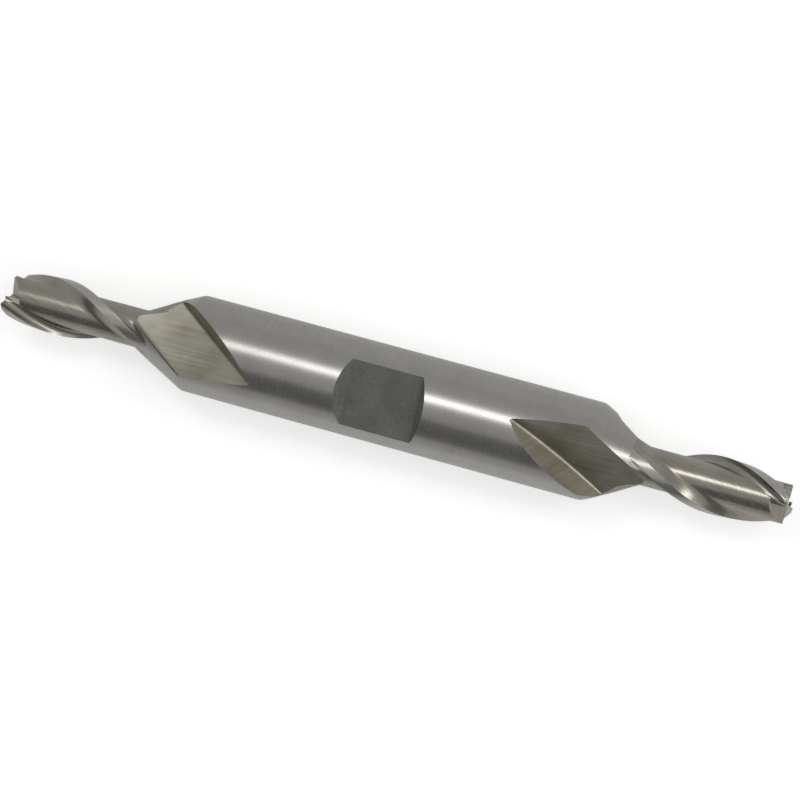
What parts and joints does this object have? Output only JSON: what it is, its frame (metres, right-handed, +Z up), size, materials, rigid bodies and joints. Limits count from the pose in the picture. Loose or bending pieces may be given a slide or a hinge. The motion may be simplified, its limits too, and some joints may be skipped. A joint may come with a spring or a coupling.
{
  "type": "double-ended square end mill",
  "caption": "Solid rotary milling cutter with helical square-nosed teeth at both ends of a plain round shank that carries one set-screw flat.",
  "frame": {"origin": "on the floor under the middle of the tool, as it lies on its shank with the flat up", "axes": "+X along the tool, +Z up out of the shank's flat"},
  "size_m": [0.0794, 0.0096, 0.0095],
  "materials": {
    "tool_steel": "ground high-speed steel: fine ground shank, coarser ground flutes, dark flat"
  },
  "bodies": {
    "root": {"end_mill": "tool_steel"}
  },
  "joints": []
}
